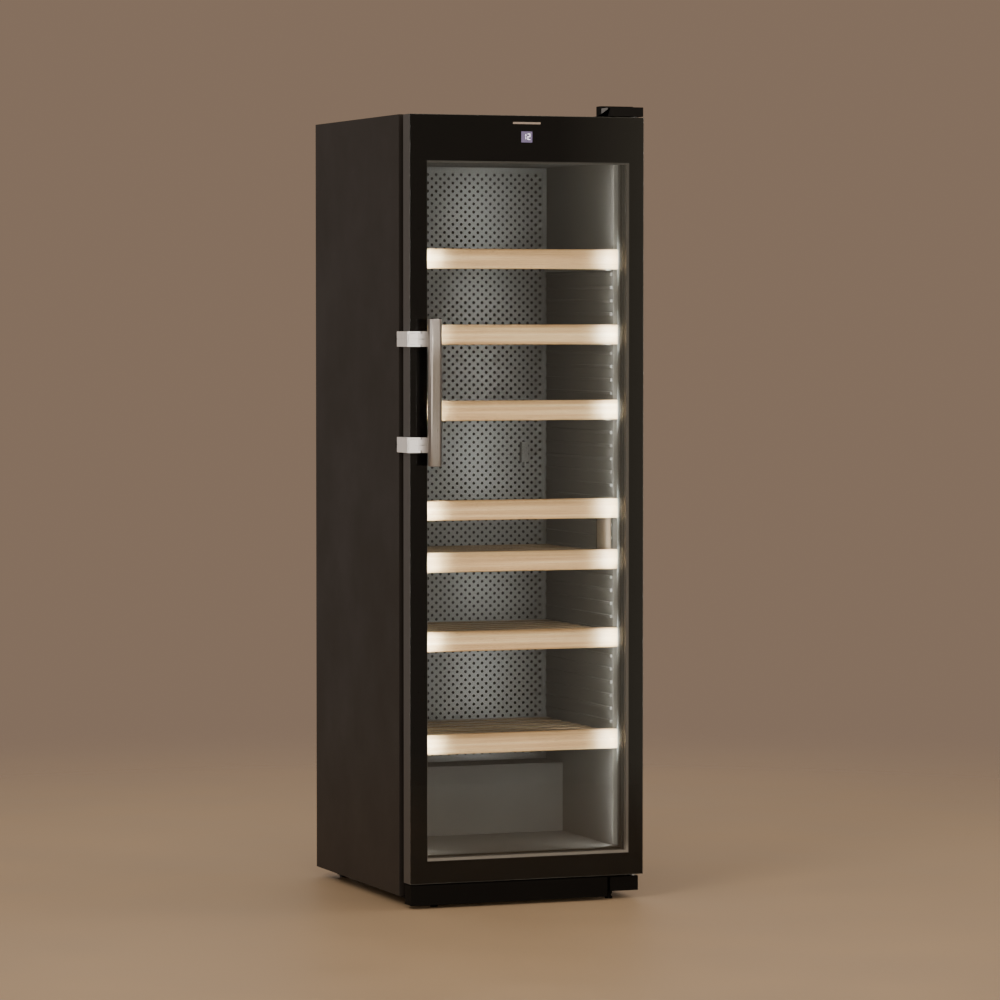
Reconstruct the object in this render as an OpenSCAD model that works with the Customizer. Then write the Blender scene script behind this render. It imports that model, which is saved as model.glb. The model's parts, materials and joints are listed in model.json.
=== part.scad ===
// Tall free-standing wine cabinet with a glass door, millimetres.
// X runs to the right, Y to the rear and Z up. The origin is on the floor under the middle.

/* [Cabinet] */
// Width of the cabinet and of the door
cabinet_w = 597; // [594:1:600]
// Height of the cabinet top above the floor
cabinet_h = 1884; // [1880:1:1890]
// Depth of the cabinet behind the door gasket
cabinet_d = 620; // [616:1:626]
// Distance that the rear spacers keep from a wall
spacer_d = 13; // [8:1:20]
// Thickness of the outer steel sheets
sheet = 1.2; // [0.8:0.1:1.5]
// Width between the liner walls
liner_w = 536; // [534:1:538]
// Thickness of the liner
liner_t = 2; // [1.5:0.5:2.5]
// Height of the liner floor
liner_floor_z = 118; // [116:1:120]
// Height of the liner ceiling
liner_ceiling_z = 1778; // [1774:1:1780]

/* [Door] */
// Height of the lower edge of the door
door_bottom_z = 60; // [59:1:62]
// Thickness of each glass pane
pane_t = 4; // [3:0.5:5]
// Gap between two panes
pane_gap = 12; // [10:1:13]
// Depth of the door's visible edge, with the front glass
door_edge_d = 48; // [46:1:52]
// Depth of the recessed frame that holds the gasket
inner_frame_d = 18; // [14:1:20]
// Depth of the gasket
gasket_d = 13.5; // [10:0.5:14]
// Half width of the window
window_x = 261; // [258:0.5:262]
// Lower edge of the window
window_low_z = 113; // [110:1:116]
// Upper edge of the window
window_high_z = 1776; // [1770:1:1778]
// Reach of the handle in front of the glass
handle_reach = 50; // [44:1:60]

/* [Shelves] */
// Height of a beech front board
board_h = 48; // [44:1:50]
// Thickness of a beech front board
board_t = 18; // [14:1:20]
// Width of a beech front board
board_w = 531; // [516:1:531]
// Tops of the seven front boards, from the top down
board_tops = [1567, 1386, 1204, 966, 842, 652, 406];
// Slats in a shelf
slat_n = 7; // [5:1:9]
// Height of the ribs' pitch on the side walls
rib_pitch = 32; // [30:1:36]

/* [Handle] */
// Length of the handle bar
handle_l = 347; // [340:1:360]
// Height of the middle of the handle bar
handle_z = 1226; // [1200:1:1250]
// Distance between the middles of the two handle brackets
bracket_pitch = 250; // [230:1:260]
// Height of a handle bracket
bracket_h = 36; // [34:1:40]

/* [Hidden] */
$fn = 64;

// depth stations, front to rear
seal_gap = 0.5;
door_d = door_edge_d + inner_frame_d + gasket_d + seal_gap;
total_d = handle_reach + door_d + cabinet_d + spacer_d;
y_glass = handle_reach - total_d / 2;
y_profile = y_glass + pane_t;
y_inner = y_glass + door_edge_d;
y_gasket = y_inner + inner_frame_d;
y_cab = y_glass + door_d;
y_rear = y_cab + cabinet_d;
y_wall = y_rear + spacer_d;

// cabinet shell
half_w = cabinet_w / 2;
in_x = half_w - sheet;
flange_x = 283;
y_foam_back = y_rear - sheet;
pan_z = 24;
pan_t = 3;
pan_top = pan_z + pan_t;
collar_d = 8.5;
collar_low_z = liner_floor_z - 22;
collar_high_z = liner_ceiling_z + 22;

// liner, with a step over the machine room
lin_x = liner_w / 2;
y_liner = y_cab + collar_d;
y_liner_rear = y_rear - 46.5;
step_y = 120;
step_z = 290;
machine_y = 165;
machine_z = 245;
duct_y = y_liner_rear - 91;
duct_t = 1.5;

// ribs and shelves
rib_d = 5;
rib_t = 7;
rib_low_z = 352;
rib_high_z = 1540;
rib_n = floor((rib_high_z - rib_low_z) / rib_pitch) + 1;
rib_y0 = y_cab + 46;
rib_y1 = duct_y - 6;
board_y = y_cab + 5;
board_back_y = board_y + board_t;
rack_shelves = [0, 1, 2, 4, 5, 6];
deck_drop = 8;
slat_t = 14;
slat_w = 36;
rail_h = 18;
rack_x = 258;
rack_y1 = duct_y - 24;
runner_h = 12;

// door
door_top_z = cabinet_h - 2;
pin_x = 283;
pin_y = y_glass + 28.5;
pin_r = 5;
play = 0.05;
// Thickness of the top hinge plate
hinge_t = 4;
frame_in_x = window_x + 1;
gasket_x = 284;
display_w = 62;
display_h = 44;
display_x = -2.5;
display_z = 1831.5;

// handle
bar_w = 34;
bar_d = 20;
bar_x = -251.5;
bar_r = 9;
bar_y = y_glass - handle_reach + bar_d / 2;
lever_x = -286;
lever_y = y_glass - 9.5;
lever_h = 26;
arm_x = -275;
lever_pin_r = 3;
lever_front_y = y_glass - 13.1;
lever_back_y = y_glass - 3.1;
finger_tip_y = y_glass - 0.4;
pusher_x = -304.5;
pusher_r = 3;
bracket_x = -310.5;
bracket_end_y = y_glass + 60;

// fans: hub radius, blade tip radius and axle radius
hub_r = 20;
shaft_r = 2.5;
evap_fan_r = 56;
evap_fan_z = 1640;
evap_fan_y = duct_y + 8;
cond_fan_r = 62;
cond_fan_x = 120;
cond_fan_y = 266;
cond_fan_z = 128;
shroud_gap = 4;

// feet and rollers
foot_x = 225;
foot_y = y_glass + 41.5;
foot_r = 5.5;
plate_low_z = 20;
roller_x = 241;
roller_y = 320;
roller_r = 17;
roller_w = 20;
axle_r = 4;
filter_x = 150;
filter_z = 345;
filter_r = 34;
inlet_x = -215;
inlet_z = 66;

body_c = "#3a302b";
black_c = "#1c1a18";
liner_c = "#55524e";
metal_c = "#b8b2aa";
beech_c = "#dcc39a";

// ---- shared shapes ----

// Box between two corners
module block(x0, x1, y0, y1, z0, z1) {
    translate([x0, y0, z0]) cube([x1 - x0, y1 - y0, z1 - z0]);
}

// Children on the right for s = 1, mirrored to the left for s = -1
module on_side(s) {
    if (s < 0) mirror([1, 0, 0]) children();
    else children();
}

// Upright rectangular frame, from an outer to an inner outline
module frame_ring(x_out, z_low, z_high, x_in, z_in_low, z_in_high, y0, y1) {
    difference() {
        block(-x_out, x_out, y0, y1, z_low, z_high);
        block(-x_in, x_in, y0 - 1, y1 + 1, z_in_low, z_in_high);
    }
}

// Outline in Y and Z, run along X
module yz_prism(x0, x1, points) {
    translate([x0, 0, 0]) rotate([90, 0, 90]) linear_extrude(x1 - x0) polygon(points);
}

// Round bar along X, Y or Z
module bar_along_x(x0, x1, y, z, r) {
    translate([x0, y, z]) rotate([0, 90, 0]) cylinder(h = x1 - x0, r = r);
}
module bar_along_y(x, y0, y1, z, r) {
    translate([x, y0, z]) rotate([-90, 0, 0]) cylinder(h = y1 - y0, r = r);
}
module bar_along_z(x, y, z0, z1, r) {
    translate([x, y, z0]) cylinder(h = z1 - z0, r = r);
}

// Rectangle with round corners, centred
module round_rect(w, d, r) {
    square([w - 2 * r, d], center = true);
    square([w, d - 2 * r], center = true);
    for (sx = [-1, 1], sy = [-1, 1])
        translate([sx * (w / 2 - r), sy * (d / 2 - r)]) circle(r);
}

// Side profile of the liner space, in Y and Z
function liner_outline(y0, grow) = [
    [y0, liner_floor_z - grow],
    [step_y + grow, liner_floor_z - grow],
    [step_y + grow, step_z - grow],
    [y_liner_rear + grow, step_z - grow],
    [y_liner_rear + grow, liner_ceiling_z + grow],
    [y0, liner_ceiling_z + grow]
];

// Axial fan with a bored hub, its axis along Z
module fan_rotor(tip_r, hub_h, blades) {
    difference() {
        union() {
            cylinder(h = hub_h, r = hub_r);
            for (i = [0 : blades - 1])
                rotate([0, 0, i * 360 / blades])
                    translate([hub_r - 3, 0, hub_h / 2])
                        rotate([28, 0, 0])
                            translate([0, -hub_h * 0.7, -0.8])
                                cube([tip_r - hub_r + 3, hub_h * 1.4, 1.6]);
        }
        translate([0, 0, -1]) cylinder(h = hub_h + 2, r = shaft_r + play);
    }
}

// Plate with a round fan opening, two struts, a motor and its shaft towards -Z
module fan_plate(w, h, hole_r, motor_h, shaft_l) {
    difference() {
        translate([-w / 2, -h / 2, 0]) cube([w, h, 3]);
        translate([0, 0, -1]) cylinder(h = 5, r = hole_r);
    }
    for (a = [45, 135])
        rotate([0, 0, a]) translate([-hole_r - 2, -4, 0]) cube([2 * hole_r + 4, 8, 3]);
    cylinder(h = motor_h, r = hub_r);
    translate([0, 0, -shaft_l]) cylinder(h = shaft_l + 1, r = shaft_r);
}

// ---- cabinet ----

module side_panel(s) {
    color(body_c) on_side(s) {
        block(in_x, half_w, y_cab, y_foam_back, pan_z, cabinet_h);
        block(flange_x, half_w, y_cab, y_cab + sheet, pan_z, cabinet_h);
    }
}
module side_panel_left() {
    side_panel(-1);
}
module side_panel_right() {
    side_panel(1);
}

screw_places = [for (x = [235, 272], y = [y_cab + 24, y_cab + 50]) [x, y]];

module top_panel() {
    color(body_c) difference() {
        union() {
            block(-in_x, in_x, y_cab + sheet, y_foam_back, cabinet_h - sheet, cabinet_h);
            block(-flange_x, flange_x, y_cab, y_cab + sheet, collar_high_z, cabinet_h);
        }
        for (p = screw_places) bar_along_z(p[0], p[1], cabinet_h - 5, cabinet_h + 1, shaft_r);
    }
}

module rear_panel() {
    color(body_c) difference() {
        block(-half_w, half_w, y_foam_back, y_rear, machine_z, cabinet_h);
        for (i = [0 : 3])
            block(-120 + 64 * i, -80 + 64 * i, y_foam_back - 1, y_rear - sheet / 2, 1800, 1806);
    }
}

module roller_fork(s) {
    on_side(s) for (x = [roller_x - roller_w / 2 - 4, roller_x + roller_w / 2 + 1])
        difference() {
            block(x, x + 3, roller_y - 16, roller_y + 16, 6, pan_z + 1);
            bar_along_x(x - 1, x + 4, roller_y, roller_r, axle_r);
        }
}

module base_pan() {
    color(black_c) {
        difference() {
            block(-in_x, in_x, y_cab + sheet, y_foam_back, pan_z, pan_top);
            for (s = [-1, 1]) on_side(s)
                block(roller_x - roller_w / 2 - 1, roller_x + roller_w / 2 + 1,
                      roller_y - 20, roller_y + 20, pan_z - 1, pan_top + 1);
        }
        block(-flange_x, flange_x, y_cab, y_cab + sheet, pan_z, collar_low_z);
        roller_fork(-1);
        roller_fork(1);
        difference() {
            union() {
                block(-290, -217, y_glass + 13, y_cab + 70, plate_low_z, pan_z);
                block(-290, -217, y_glass + 13, y_glass + 17, plate_low_z, 55);
            }
            bar_along_z(-foot_x, foot_y, plate_low_z - 1, pan_z + 1, foot_r + play);
        }
    }
}

module insulation() {
    color("#d9cfa8") difference() {
        block(-in_x, in_x, y_cab + sheet, y_foam_back, pan_top, cabinet_h - sheet);
        yz_prism(-lin_x - liner_t, lin_x + liner_t, liner_outline(y_cab - 1, liner_t));
        block(-flange_x, flange_x, y_cab - 1, y_liner, collar_low_z, collar_high_z);
        block(-in_x - 1, in_x + 1, machine_y, y_rear + 1, pan_top - 1, machine_z);
    }
}

module liner_side(s) {
    color(liner_c) on_side(s) {
        yz_prism(lin_x, lin_x + liner_t, liner_outline(y_liner, liner_t));
        for (i = [0 : rib_n - 1])
            block(lin_x - rib_d, lin_x + 1, rib_y0, rib_y1,
                  rib_low_z + i * rib_pitch, rib_low_z + i * rib_pitch + rib_t);
    }
}
module liner_left() {
    liner_side(-1);
}
module liner_right() {
    liner_side(1);
}

module liner_ceiling() {
    color(liner_c)
        block(-lin_x, lin_x, y_liner, y_liner_rear, liner_ceiling_z, liner_ceiling_z + liner_t);
}

module liner_floor() {
    color(liner_c) {
        block(-lin_x, lin_x, y_liner, step_y + liner_t, liner_floor_z - liner_t, liner_floor_z);
        block(-lin_x, lin_x, step_y, step_y + liner_t, liner_floor_z - liner_t, step_z);
        block(-lin_x, lin_x, step_y, y_liner_rear, step_z - liner_t, step_z);
    }
}

module liner_rear() {
    color(liner_c)
        block(-lin_x, lin_x, y_liner_rear, y_liner_rear + liner_t, step_z - liner_t,
              liner_ceiling_z + liner_t);
}

module front_collar() {
    color(liner_c)
        frame_ring(flange_x, collar_low_z, collar_high_z, lin_x, liner_floor_z, liner_ceiling_z,
                   y_cab, y_liner);
}

module duct_panel() {
    color("#77736d") difference() {
        block(-lin_x + 0.5, lin_x - 0.5, duct_y, duct_y + duct_t, step_z, liner_ceiling_z);
        bar_along_y(filter_x, duct_y - 1, duct_y + 3, filter_z, filter_r + play);
    }
}

module evaporator() {
    fin_n = 24;
    fin_y0 = duct_y + 26;
    color(metal_c) {
        for (i = [0 : fin_n - 1])
            block(-184 + 16 * i, -183 + 16 * i, fin_y0, y_liner_rear - 6, 1190, 1450);
        for (x = [-187, 186])
            block(x, x + 2, fin_y0 - 4, y_liner_rear, 1180, 1460);
        for (j = [0 : 6], y = [fin_y0 + 14, fin_y0 + 40])
            bar_along_x(-196, 196, y, 1212 + 36 * j, 4);
    }
}

module fan_shroud() {
    y0 = evap_fan_y + hub_r + shroud_gap;
    color(black_c) {
        translate([0, y0, evap_fan_z]) rotate([-90, 0, 0])
            fan_plate(200, 200, evap_fan_r + 4, 18, hub_r + shroud_gap);
        for (x = [-100, 97]) block(x, x + 3, y0, y_liner_rear, evap_fan_z - 100, evap_fan_z + 100);
    }
}

module temperature_sensor() {
    color("#8a8782") {
        block(196, 214, duct_y - 12, duct_y, 1040, 1090);
        bar_along_z(205, duct_y - 6, 1030, 1041, 4);
    }
}

module led_columns() {
    color("#f4f1e6") for (s = [-1, 1]) on_side(s)
        block(lin_x - 1.8, lin_x, y_liner + 1, y_liner + 29, liner_floor_z + 4, liner_ceiling_z - 4);
}

module machine_cover() {
    color(black_c) difference() {
        block(-half_w, half_w, y_foam_back, y_rear, pan_z, machine_z);
        for (i = [0 : 8], x = [-95, 60])
            block(x, x + 130, y_foam_back - 1, y_rear + 1, 62 + 18 * i, 70 + 18 * i);
        block(inlet_x - 25.2, inlet_x + 25.2, y_foam_back - 1, y_rear + 1,
              inlet_z - 14.2, inlet_z + 14.2);
    }
}

module compressor() {
    pot_r = 72;
    color(black_c) translate([-30, 268, 0]) {
        intersection() {
            bar_along_z(0, 0, 37, 200, pot_r);
            translate([0, 0, 112]) sphere(r = 102);
        }
        block(-90, 90, -60, 60, 34, 38);
        for (x = [-78, 78], y = [-48, 48]) bar_along_z(x, y, pan_top, 34, 12);
        bar_along_x(60, 92, 20, 150, 4);
        bar_along_x(60, 92, -20, 130, 4);
    }
}

module condenser() {
    color(black_c) {
        for (i = [0 : 17]) block(176, 229, 192 + 8.6 * i, 193 + 8.6 * i, pan_top, 222);
        for (x = [190, 216], j = [0 : 4]) bar_along_y(x, 184, 350, 50 + 36 * j, 4);
        translate([cond_fan_x + hub_r + shroud_gap, cond_fan_y, cond_fan_z]) rotate([0, 90, 0])
            fan_plate(202, 164, cond_fan_r + 4, 18, hub_r + shroud_gap);
        for (y = [184, 345])
            block(cond_fan_x + hub_r + shroud_gap, 229, y, y + 3, pan_top, 222);
    }
}

module drip_tray() {
    color(black_c) difference() {
        block(-95, 35, 208, 328, 200, 226);
        block(-92.5, 32.5, 210.5, 325.5, 203, 227);
    }
}

module control_box() {
    color(black_c) {
        block(-285, -150, 190, 298, pan_top, 150);
        block(-275, -160, 200, 288, 149, 154);
    }
}

module mains_inlet() {
    color(black_c) difference() {
        union() {
            block(inlet_x - 25, inlet_x + 25, y_rear - 30, y_rear + 1, inlet_z - 14, inlet_z + 14);
            block(inlet_x - 32, inlet_x + 32, y_rear, y_rear + 3, inlet_z - 19, inlet_z + 19);
        }
        block(inlet_x - 12, inlet_x + 12, y_rear - 15, y_rear + 4, inlet_z - 8.5, inlet_z + 8.5);
    }
}

module wall_spacers() {
    color(black_c) for (s = [-1, 1], z = [400, 1700]) on_side(s) {
        block(212, 248, y_rear, y_rear + 4, z - 30, z + 30);
        block(218, 242, y_rear + 3, y_wall, z - 20, z + 20);
    }
}

module plinth_panel() {
    color(black_c) {
        block(-half_w + 1.5, 206, y_glass + 1.5, y_profile, 9, door_bottom_z - 3);
        block(-half_w + 1.5, -half_w + 4, y_glass + 1.5, y_glass + 46, 9, door_bottom_z - 3);
        for (x = [-150, 100]) block(x, x + 24, y_profile - 1, y_cab, pan_top, pan_top + 3);
    }
}

module hinge_bracket_top() {
    color(black_c) difference() {
        block(215, 289, y_glass + 9, y_cab + 62, cabinet_h, cabinet_h + hinge_t);
        bar_along_z(pin_x, pin_y, cabinet_h - 1, cabinet_h + hinge_t + 1, pin_r);
        for (p = screw_places)
            bar_along_z(p[0], p[1], cabinet_h - 1, cabinet_h + hinge_t + 1, shaft_r);
    }
}

module hinge_bracket_bottom() {
    color(black_c) difference() {
        union() {
            block(217, 290, y_glass + 13, y_cab + 70, plate_low_z, pan_z);
            block(217, 290, y_glass + 13, y_glass + 17, plate_low_z, 55);
            block(286, 290, y_glass + 13, y_cab - 5, plate_low_z, 55);
            bar_along_z(pin_x, pin_y, plate_low_z, 55, 7);
        }
        bar_along_z(foot_x, foot_y, plate_low_z - 1, pan_z + 1, foot_r + play);
        bar_along_z(pin_x, pin_y, plate_low_z - 1, 56, pin_r);
    }
}

module hinge_cover() {
    front_h = 22.5;
    rear_h = 27;
    wall = 2.5;
    side_wall = 8;
    left_x = 212;
    right_x = 297;
    front_y = y_glass + 2;
    step_y = y_glass + 66;
    rear_y = y_glass + 94;
    color(black_c) difference() {
        union() {
            block(left_x, right_x, front_y, step_y, cabinet_h, cabinet_h + front_h);
            block(left_x, right_x, step_y, rear_y, cabinet_h, cabinet_h + rear_h);
        }
        block(left_x + side_wall, right_x - wall, front_y + wall, rear_y - wall,
              cabinet_h - 1, cabinet_h + front_h - wall);
        block(left_x + wall, right_x - wall, front_y + wall, rear_y + 1,
              cabinet_h - 1, cabinet_h + hinge_t + play);
        block(left_x - 1, left_x + 5, front_y + 20, step_y, cabinet_h + 2,
              cabinet_h + rear_h + 1);
    }
}

module hinge_pins() {
    color(metal_c) {
        bar_along_z(pin_x, pin_y, plate_low_z, door_bottom_z + 24, pin_r);
        bar_along_z(pin_x, pin_y, 55, door_bottom_z - 0.4, 8);
        bar_along_z(pin_x, pin_y, door_top_z - 22, cabinet_h + 8, pin_r);
        bar_along_z(pin_x, pin_y, door_top_z + 0.4, cabinet_h, 8);
    }
}

module hinge_screws() {
    color(metal_c) for (p = screw_places) {
        bar_along_z(p[0], p[1], cabinet_h - sheet, cabinet_h + 5, shaft_r);
        difference() {
            bar_along_z(p[0], p[1], cabinet_h + 4, cabinet_h + 8, 5);
            translate([p[0], p[1], cabinet_h + 6]) cylinder(h = 3, r = 2.5, $fn = 6);
        }
    }
}

module roller_axles() {
    color(metal_c) for (s = [-1, 1]) on_side(s)
        bar_along_x(roller_x - roller_w / 2 - 5, roller_x + roller_w / 2 + 5,
                    roller_y, roller_r, axle_r);
}

// ---- shelves ----

module shelf_runners() {
    color(metal_c) for (i = rack_shelves, s = [-1, 1]) on_side(s) {
        z = board_tops[i] - deck_drop - slat_t - rail_h + 2;
        block(252, lin_x - rib_d, rib_y0, rack_y1, z - runner_h, z);
    }
}

module shelf_board(i) {
    color(beech_c)
        block(-board_w / 2, board_w / 2, board_y, board_back_y,
              board_tops[i] - board_h, board_tops[i]);
}
module shelf_board_1() {
    shelf_board(0);
}
module shelf_board_2() {
    shelf_board(1);
}
module shelf_board_3() {
    shelf_board(2);
}
module shelf_board_4() {
    shelf_board(3);
}
module shelf_board_5() {
    shelf_board(4);
}
module shelf_board_6() {
    shelf_board(5);
}
module shelf_board_7() {
    shelf_board(6);
}

module rack(top) {
    y0 = board_back_y;
    pitch = (rack_y1 - y0 - slat_w - 12) / (slat_n - 1);
    rail_z = top - slat_t - rail_h + 2;
    for (x = [-rack_x, -10, rack_x - 20])
        block(x, x + 20, y0, rack_y1, rail_z, rail_z + rail_h);
    for (i = [0 : slat_n - 1])
        block(-rack_x, rack_x, y0 + 6 + pitch * i, y0 + 6 + pitch * i + slat_w,
              top - slat_t, top);
}

module shelf_racks() {
    color(beech_c) for (i = rack_shelves) rack(board_tops[i] - deck_drop);
}

module display_brackets() {
    color(beech_c) for (s = [-1, 1]) on_side(s)
        block(218, 256, board_back_y, board_back_y + 6, board_tops[4] - 6,
              board_tops[3] - board_h + 8);
}

// ---- door ----

module door_glass() {
    color("#101010")
        block(-half_w, half_w, y_glass, y_profile, door_bottom_z, door_top_z);
}

module door_profile() {
    color(black_c) difference() {
        frame_ring(half_w, door_bottom_z, door_top_z, window_x + 0.2, window_low_z - 0.2,
                   window_high_z + 0.2, y_profile, y_inner);
        bar_along_z(pin_x, pin_y, door_bottom_z - 1, door_bottom_z + 26, pin_r + play);
        bar_along_z(pin_x, pin_y, door_top_z - 24, door_top_z + 1, pin_r + play);
        block(display_x - display_w / 2 - 0.2, display_x + display_w / 2 + 0.2,
              y_profile - 1, y_profile + 10.2,
              display_z - display_h / 2 - 0.2, display_z + display_h / 2 + 0.2);
    }
}

module door_inner_frame() {
    color(black_c)
        frame_ring(gasket_x + 1, window_low_z - 17, window_high_z + 16, frame_in_x,
                   window_low_z + 1, window_high_z - 1, y_inner, y_gasket);
}

module inner_panes() {
    color("#8899a0") for (i = [1, 2])
        block(-window_x, window_x, y_glass + i * (pane_t + pane_gap),
              y_glass + i * (pane_t + pane_gap) + pane_t, window_low_z, window_high_z);
}

module spacer_bars() {
    inset = 7;
    color(metal_c) for (i = [0, 1])
        frame_ring(window_x, window_low_z, window_high_z, window_x - inset, window_low_z + inset,
                   window_high_z - inset, y_profile + i * (pane_t + pane_gap),
                   y_profile + i * (pane_t + pane_gap) + pane_gap);
}

module gasket() {
    color("#2a2725")
        frame_ring(gasket_x, window_low_z - 15, window_high_z + 14, gasket_x - 16,
                   window_low_z + 1, window_high_z - 2, y_gasket, y_gasket + gasket_d);
}

module display_module() {
    color("#b9a8ff")
        block(display_x - display_w / 2, display_x + display_w / 2, y_profile, y_profile + 10,
              display_z - display_h / 2, display_z + display_h / 2);
}

module handle_bracket(z) {
    slot = lever_h / 2 + 0.3;
    translate([0, 0, z]) difference() {
        union() {
            block(bracket_x, -half_w - 0.1, y_glass - 14.5, bracket_end_y,
                  -bracket_h / 2, bracket_h / 2);
            block(bracket_x, -278, y_glass - 14.5, y_glass - 0.1, -bracket_h / 2, bracket_h / 2);
        }
        block(bracket_x + 2.5, -277, y_glass - 16, y_glass, -slot, slot);
        block(bracket_x + 2.5, -half_w - 1.2, y_glass - 1, y_glass + 6, -slot, slot);
        bar_along_y(pusher_x, y_glass, bracket_end_y + 1, 0, pusher_r + play);
        bar_along_z(lever_x, lever_y, -bracket_h, bracket_h, lever_pin_r);
        block(bracket_x - 1, bracket_x + 0.8, y_glass - 15, bracket_end_y + 1, -0.8, 0.8);
    }
}

module on_brackets() {
    for (s = [-1, 1]) translate([0, 0, handle_z + 1 + s * bracket_pitch / 2]) children();
}

module handle_brackets() {
    color(metal_c) on_brackets() handle_bracket(0);
}

module handle_pins() {
    color(metal_c) on_brackets()
        bar_along_z(lever_x, lever_y, -bracket_h / 2, bracket_h / 2, lever_pin_r);
}

module handle_bar() {
    color(metal_c) translate([bar_x, bar_y, handle_z - handle_l / 2])
        linear_extrude(handle_l) round_rect(bar_w, bar_d, bar_r);
}

// Outline of a lever arm, from its finger behind the bracket to the back of the bar
module arm_outline() {
    bar_back_y = bar_y + bar_d / 2;
    polygon([
        [-306.5, lever_front_y], [-306.5, finger_tip_y], [-302.5, finger_tip_y],
        [-301.5, lever_back_y], [-280, lever_back_y], [-262, y_glass - 19],
        [-244, bar_back_y], [-259, bar_back_y], [-284, lever_front_y]
    ]);
}

module handle_arms() {
    color(metal_c) on_brackets() difference() {
        union() {
            translate([0, 0, -lever_h / 2]) linear_extrude(lever_h) arm_outline();
            translate([0, 0, -bracket_h / 2]) linear_extrude(bracket_h) intersection() {
                arm_outline();
                translate([arm_x, y_glass - handle_reach]) square(handle_reach);
            }
        }
        bar_along_z(lever_x, lever_y, -lever_h, lever_h, lever_pin_r + play);
        block(-307, -270, y_glass - 40, lever_front_y + 0.8, -0.8, 0.8);
    }
}

module opening_pushers() {
    color(black_c) on_brackets() {
        bar_along_y(pusher_x, y_glass + 0.3, bracket_end_y + 5, 0, pusher_r);
        block(-308.5, -289.5, bracket_end_y + 4, y_cab - 5, -8, 8);
    }
}

// ---- turning pieces ----

module evaporator_fan() {
    color("#d8d4cc") translate([0, evap_fan_y, evap_fan_z]) rotate([-90, 0, 0])
        fan_rotor(evap_fan_r, hub_r, 7);
}

module condenser_fan() {
    color("#d8d4cc") translate([cond_fan_x, cond_fan_y, cond_fan_z]) rotate([0, 90, 0])
        fan_rotor(cond_fan_r, hub_r, 5);
}

module charcoal_filter() {
    color("#8a8782") {
        bar_along_y(filter_x, duct_y - 7, duct_y - 0.3, filter_z, filter_r + 7);
        bar_along_y(filter_x, duct_y - 1, duct_y + 30, filter_z, filter_r);
        block(filter_x - 27, filter_x + 27, duct_y - 15, duct_y - 6, filter_z - 5, filter_z + 5);
    }
}

module foot(s) {
    color(black_c) on_side(s) {
        bar_along_z(foot_x, foot_y, 0, 5, 9);
        bar_along_z(foot_x, foot_y, 4, 48, foot_r);
        translate([foot_x, foot_y, 11]) cylinder(h = 6, r = 9, $fn = 6);
    }
}
module foot_left() {
    foot(-1);
}
module foot_right() {
    foot(1);
}

module roller(s) {
    color("#2a2725") on_side(s) difference() {
        bar_along_x(roller_x - roller_w / 2, roller_x + roller_w / 2, roller_y, roller_r,
                    roller_r);
        bar_along_x(roller_x - roller_w, roller_x + roller_w, roller_y, roller_r,
                    axle_r + play);
    }
}
module roller_left() {
    roller(-1);
}
module roller_right() {
    roller(1);
}

side_panel_left();
side_panel_right();
top_panel();
rear_panel();
base_pan();
insulation();
liner_left();
liner_right();
liner_ceiling();
liner_floor();
liner_rear();
front_collar();
duct_panel();
evaporator();
fan_shroud();
temperature_sensor();
led_columns();
machine_cover();
compressor();
condenser();
drip_tray();
control_box();
mains_inlet();
wall_spacers();
plinth_panel();
hinge_bracket_top();
hinge_bracket_bottom();
hinge_cover();
hinge_pins();
hinge_screws();
roller_axles();
shelf_runners();
shelf_board_1();
shelf_board_2();
shelf_board_3();
shelf_board_4();
shelf_board_5();
shelf_board_6();
shelf_board_7();
shelf_racks();
display_brackets();
door_glass();
door_profile();
door_inner_frame();
inner_panes();
spacer_bars();
gasket();
display_module();
handle_brackets();
handle_pins();
handle_bar();
handle_arms();
opening_pushers();
evaporator_fan();
condenser_fan();
charcoal_filter();
foot_left();
foot_right();
roller_left();
roller_right();
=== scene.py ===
"""Looks of a tall free-standing wine cabinet with a glass door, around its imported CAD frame."""

import json
import math

import bmesh
import bpy
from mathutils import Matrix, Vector


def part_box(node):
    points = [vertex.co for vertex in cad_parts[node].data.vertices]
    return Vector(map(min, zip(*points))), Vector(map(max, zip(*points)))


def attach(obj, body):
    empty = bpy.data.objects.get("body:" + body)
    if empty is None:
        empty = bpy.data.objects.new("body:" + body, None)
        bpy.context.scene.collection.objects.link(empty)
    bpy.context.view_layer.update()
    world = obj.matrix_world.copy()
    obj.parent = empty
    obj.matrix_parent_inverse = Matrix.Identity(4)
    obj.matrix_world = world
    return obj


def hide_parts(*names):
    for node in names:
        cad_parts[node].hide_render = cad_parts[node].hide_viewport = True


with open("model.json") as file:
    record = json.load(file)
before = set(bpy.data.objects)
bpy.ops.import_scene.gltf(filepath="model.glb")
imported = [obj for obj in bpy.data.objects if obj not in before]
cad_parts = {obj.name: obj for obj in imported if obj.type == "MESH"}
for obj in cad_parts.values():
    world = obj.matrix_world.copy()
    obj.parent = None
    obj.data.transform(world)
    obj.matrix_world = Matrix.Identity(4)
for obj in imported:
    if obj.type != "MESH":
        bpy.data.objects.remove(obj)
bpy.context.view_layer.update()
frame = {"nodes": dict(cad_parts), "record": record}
nodes = frame["nodes"]

# ---------------------------------------------------------------- stage


def add_camera():
    """The camera stands in front, to the left, and looks slightly down through a long lens."""
    place = Vector((-3.8472, -10.2406, 1.4003))
    yaw, pitch = math.radians(20.856), math.radians(-2.328)
    data = bpy.data.cameras.new("camera")
    data.lens = 160.66
    data.sensor_width = 36
    data.clip_end = 100
    camera = bpy.data.objects.new("camera", data)
    camera.location = place
    camera.rotation_euler = (math.pi / 2 + pitch, 0, -yaw)
    bpy.context.scene.collection.objects.link(camera)
    bpy.context.scene.camera = camera


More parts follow.
